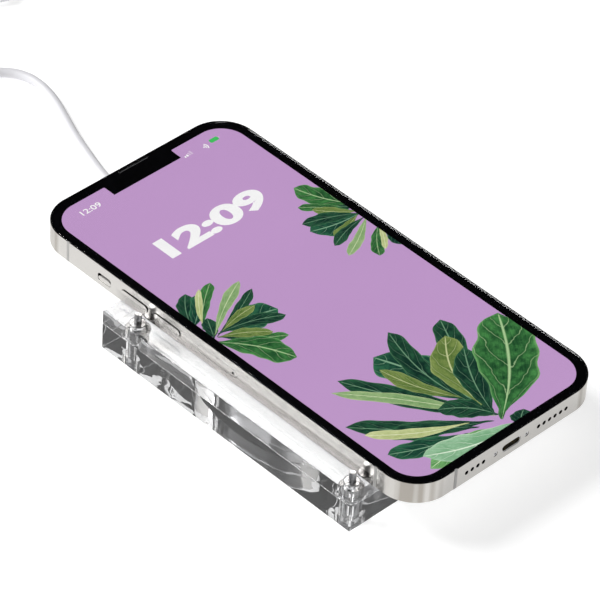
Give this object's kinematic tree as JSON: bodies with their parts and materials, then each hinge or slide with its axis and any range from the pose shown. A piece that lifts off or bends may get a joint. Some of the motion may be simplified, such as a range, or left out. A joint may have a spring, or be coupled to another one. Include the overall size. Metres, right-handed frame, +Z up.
{
  "type": "touch-screen telephone on a clear charging dock",
  "caption": "Flat touch-screen telephone with a steel band and rear camera bump, lying on a clear two-plate acrylic charging dock with a magnetic puck, white lead and plug.",
  "frame": {"origin": "centre of the bottom of the dock and phone together, on the table under the feet, measured without the lead and its plug", "axes": "+Z up out of the screen, +Y along the phone's length towards its earpiece end, +X to the phone's right as its screen is read"},
  "size_m": [0.1003, 0.2898, 0.0224],
  "materials": {
    "band_steel": "polished steel with a warm silver tone",
    "aerial_plastic": "satin grey moulding",
    "frame_alloy": "machined satin",
    "black_glass": "black-backed polished glass",
    "screen_picture": "lit picture under glass",
    "dark_mesh": "fine woven mesh",
    "black_module": "matt black",
    "white_glass": "white-backed glass",
    "lamp_lens": "diffusing lens",
    "magnet_nickel": "nickel plated",
    "coil_copper": "enamelled copper wire",
    "circuit_board": "green solder resist",
    "plated_contact": "gold plated",
    "bright_steel": "turned and polished",
    "card_plastic": "plain white card",
    "clear_acrylic": "clear polished acrylic",
    "foot_rubber": "soft black",
    "puck_aluminium": "fine blasted and anodised",
    "puck_white": "soft-touch white",
    "lead_white": "smooth elastomer",
    "tie_fabric": "hook-and-loop tape"
  },
  "bodies": {
    "dock": {"upper_plate": "clear_acrylic", "lower_plate": "clear_acrylic", "corner_posts": "bright_steel", "post_nuts": "bright_steel", "feet": "foot_rubber", "puck_shell": "puck_aluminium", "puck_face": "puck_white", "puck_coil": "coil_copper", "puck_magnets": "magnet_nickel", "puck_board": "circuit_board", "puck_riser": "foot_rubber", "strain_relief": "lead_white", "cord_run": "lead_white", "cord_coil": "lead_white", "cord_tail": "lead_white", "cord_tie": "tie_fabric", "plug_body": "lead_white", "plug_shell": "bright_steel", "plug_contacts": "plated_contact"},
    "phone": {"band_left": "band_steel", "band_right": "band_steel", "band_bottom_left": "band_steel", "band_bottom_right": "band_steel", "band_top_left": "band_steel", "band_top_right": "band_steel", "aerial_inserts": "aerial_plastic", "mid_frame": "frame_alloy", "cover_glass": "black_glass", "display_panel": "screen_picture", "front_camera": "black_glass", "face_sensors": "black_glass", "earpiece_mesh": "dark_mesh", "receiver": "black_module", "back_glass": "white_glass", "camera_plateau": "white_glass", "camera_rings": "band_steel", "camera_lenses": "black_glass", "camera_barrels": "black_module", "flash_lens": "lamp_lens", "rear_sensor": "black_glass", "phone_magnets": "magnet_nickel", "charge_coil": "coil_copper", "battery": "black_module", "logic_board": "circuit_board", "loudspeaker": "black_module", "vibration_motor": "frame_alloy", "port_shell": "bright_steel", "port_contacts": "plated_contact", "port_meshes": "dark_mesh", "end_screws": "bright_steel", "switch_domes": "bright_steel"},
    "volume_up": {"volume_up": "band_steel"},
    "volume_down": {"volume_down": "band_steel"},
    "side_button": {"side_button": "band_steel"},
    "ring_switch": {"ring_switch": "band_steel"},
    "sim_tray": {"sim_tray": "band_steel", "sim_card": "card_plastic"}
  },
  "joints": [
    {"name": "phone_lift", "type": "slide", "parent": "dock", "child": "phone", "axis": [0, 0, 1], "range_m": [0, 0.06]},
    {"name": "volume_up_press", "type": "slide", "parent": "phone", "child": "volume_up", "axis": [1, 0, 0], "range_m": [0, 0.0003], "stiffness_N_per_m": 4000},
    {"name": "volume_down_press", "type": "slide", "parent": "phone", "child": "volume_down", "axis": [1, 0, 0], "range_m": [0, 0.0003], "stiffness_N_per_m": 4000},
    {"name": "side_button_press", "type": "slide", "parent": "phone", "child": "side_button", "axis": [-1, 0, 0], "range_m": [0, 0.0003], "stiffness_N_per_m": 4000},
    {"name": "ring_switch_slide", "type": "slide", "parent": "phone", "child": "ring_switch", "axis": [0, 0, 1], "range_m": [0, 0.001]},
    {"name": "sim_tray_slide", "type": "slide", "parent": "phone", "child": "sim_tray", "axis": [-1, 0, 0], "range_m": [0, 0.022]}
  ]
}
